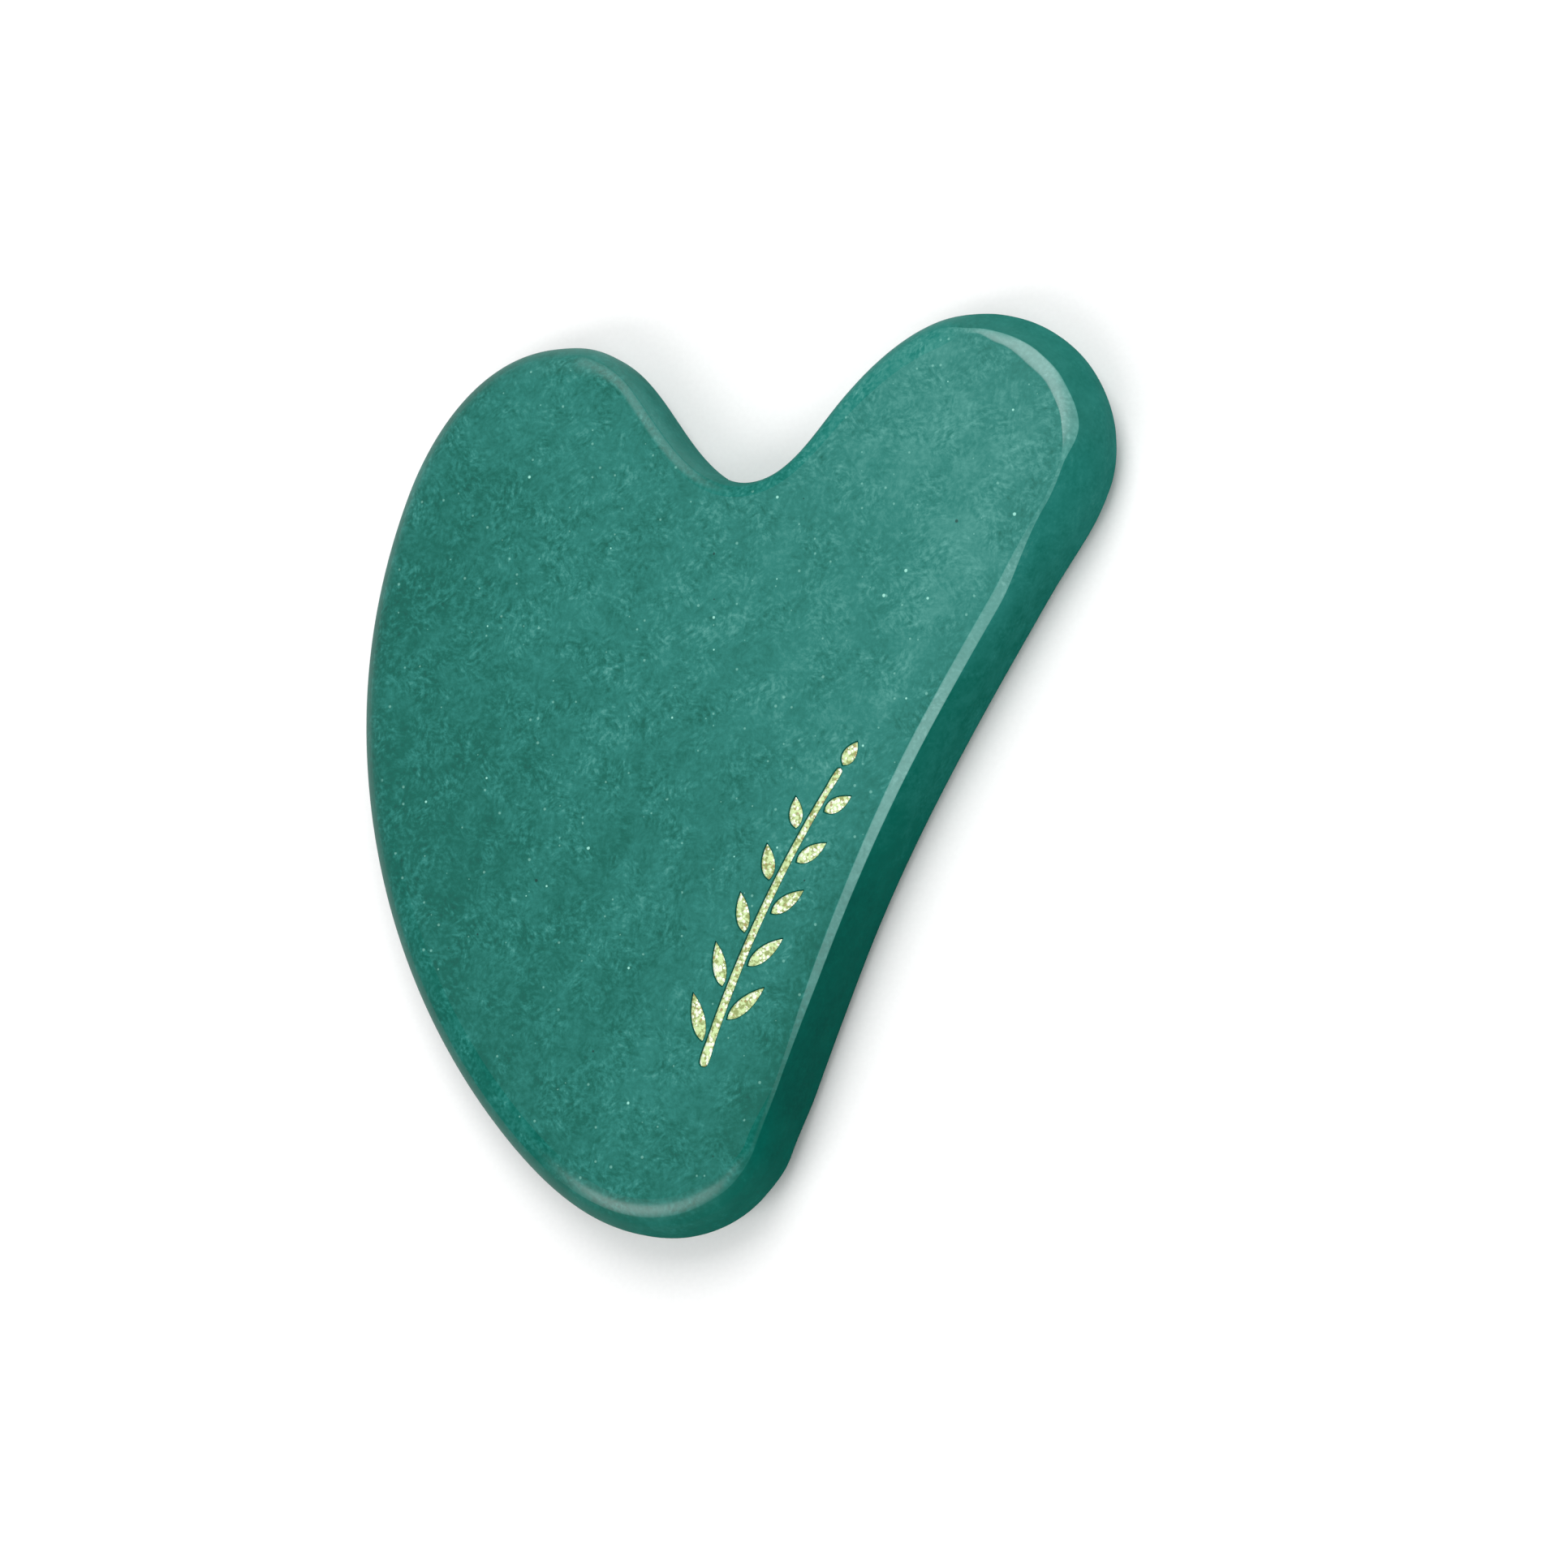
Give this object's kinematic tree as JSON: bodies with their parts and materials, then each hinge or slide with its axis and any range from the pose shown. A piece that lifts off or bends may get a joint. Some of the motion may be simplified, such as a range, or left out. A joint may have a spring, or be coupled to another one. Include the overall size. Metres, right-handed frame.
{
  "type": "gua sha scraper",
  "caption": "Flat heart-shaped jade gua sha board with a rounded edge, a deep notch between two lobes, and a gold-filled engraved leaf sprig.",
  "frame": {"origin": "middle of the outline's bounding box, on the back face that the board lies on", "axes": "+Z out of the front face, +Y from the heart's tip to its lobes and notch, +X towards the long straight flank"},
  "size_m": [0.067, 0.0756, 0.0074],
  "materials": {
    "jade": "polished blue-green jade with a fine fibrous mottle, cloudy patches and tiny bright flecks, smoother and darker round the edge",
    "gold": "pale gold powder paint, grainy and slightly rough, sunk in the engraved grooves"
  },
  "bodies": {
    "root": {"jade_plate": "jade", "gold_stem": "gold", "gold_leaf_left_1": "gold", "gold_leaf_left_2": "gold", "gold_leaf_left_3": "gold", "gold_leaf_left_4": "gold", "gold_leaf_left_5": "gold", "gold_leaf_right_1": "gold", "gold_leaf_right_2": "gold", "gold_leaf_right_3": "gold", "gold_leaf_right_4": "gold", "gold_leaf_right_5": "gold", "gold_leaf_tip": "gold"}
  },
  "joints": []
}
